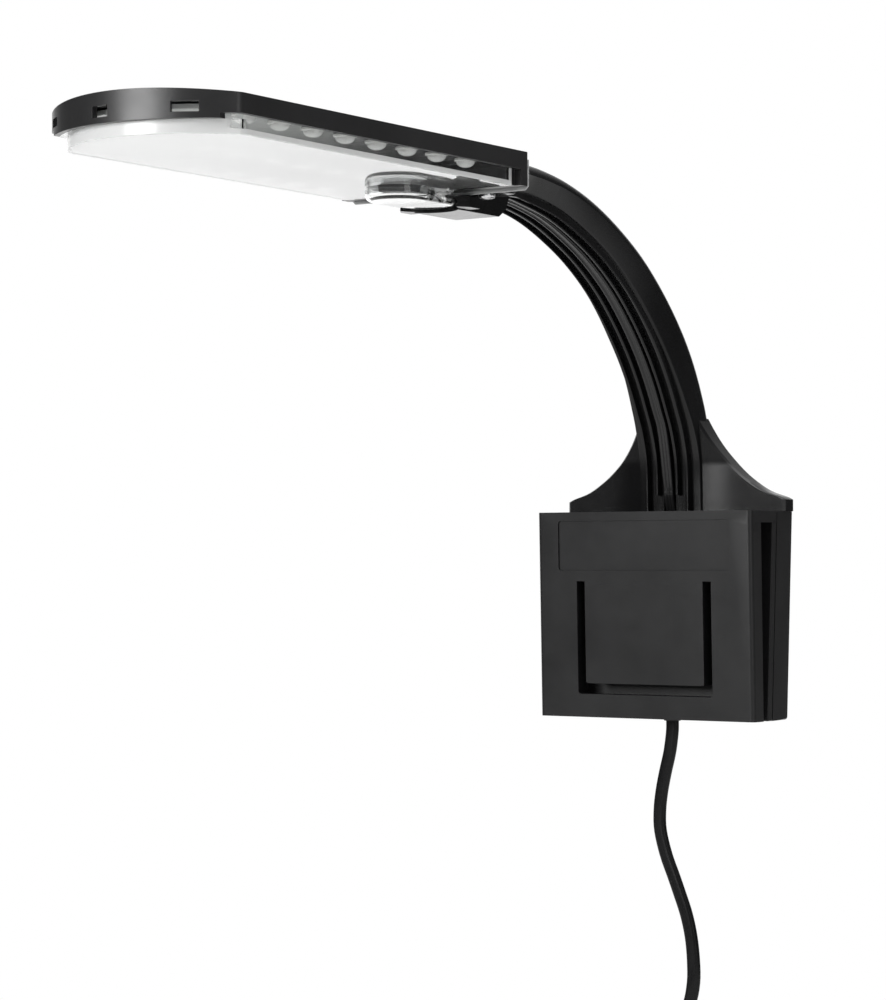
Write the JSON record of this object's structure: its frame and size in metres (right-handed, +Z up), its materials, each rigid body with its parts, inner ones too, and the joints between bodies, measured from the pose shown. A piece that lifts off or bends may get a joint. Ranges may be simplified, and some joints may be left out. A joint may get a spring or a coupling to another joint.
{
  "type": "aquarium light",
  "caption": "Slim LED aquarium lamp on an arched ribbed arm, with a sprung clip that slides over the glass rim of a small tank, and a flat mains cord with a moulded plug.",
  "frame": {"origin": "middle of the seat in the ceiling of the clip's slot, the spot that sits on the tank's rim", "axes": "+X along the rim, to the left of someone at the tank's outer side; -Y in over the water, the way the head reaches; +Z up"},
  "size_m": [0.0778, 0.2736, 0.3697],
  "materials": {
    "black_plastic": "smooth moulded ABS, semi-gloss, fingerprint soft",
    "black_plastic_matt": "moulded ABS with a fine satin grain",
    "clear_plastic": "clear moulded polycarbonate",
    "silicone": "translucent silicone bead",
    "board_white": "white solder mask",
    "led_lens": "epoxy lens",
    "component_black": "moulded component case",
    "steel": "nickel-plated screw",
    "cord_pvc": "flexible PVC jacket",
    "brass": "drawn brass, lightly brushed"
  },
  "bodies": {
    "lamp": {"arm_body": "black_plastic", "arm_lead": "cord_pvc", "arm_screw_1": "steel", "arm_screw_2": "steel", "bridge_rectifier": "component_black", "clear_cover": "clear_plastic", "clip_body": "black_plastic_matt", "clip_screw_1": "steel", "clip_screw_2": "steel", "clip_screw_3": "steel", "clip_screw_4": "steel", "coil_tie": "component_black", "cord": "cord_pvc", "cord_clamp": "black_plastic_matt", "cord_coil": "cord_pvc", "cord_grommet": "cord_pvc", "cord_inner": "cord_pvc", "cord_tail": "cord_pvc", "driver_chip": "component_black", "head_screw_left": "steel", "head_screw_right": "steel", "head_shell": "black_plastic", "led_01": "led_lens", "led_02": "led_lens", "led_03": "led_lens", "led_04": "led_lens", "led_05": "led_lens", "led_06": "led_lens", "led_07": "led_lens", "led_08": "led_lens", "led_09": "led_lens", "led_10": "led_lens", "led_11": "led_lens", "led_12": "led_lens", "led_13": "led_lens", "led_14": "led_lens", "led_15": "led_lens", "led_16": "led_lens", "led_17": "led_lens", "led_18": "led_lens", "led_19": "led_lens", "led_20": "led_lens", "led_21": "led_lens", "led_22": "led_lens", "led_23": "led_lens", "led_24": "led_lens", "led_board": "board_white", "plug_blade_left": "brass", "plug_blade_right": "brass", "plug_body": "cord_pvc", "plug_relief": "cord_pvc", "rear_housing": "black_plastic_matt", "rear_seal": "silicone", "smoothing_capacitor": "component_black", "splice_live": "component_black", "splice_neutral": "component_black"},
    "jaw": {"front_jaw": "black_plastic_matt"},
    "tongue": {"spring_tongue": "black_plastic_matt"}
  },
  "joints": [
    {"name": "jaw_flex", "type": "hinge", "parent": "lamp", "child": "jaw", "pos_m": [0, -0.0075, 0.00033], "axis": [-1, 0, 0], "range_deg": [0, 4.5], "stiffness_Nm_per_rad": 5},
    {"name": "tongue_flex", "type": "hinge", "parent": "jaw", "child": "tongue", "pos_m": [0, -0.0062, -0.0176], "axis": [-1, 0, 0], "range_deg": [0, 5], "stiffness_Nm_per_rad": 1}
  ]
}
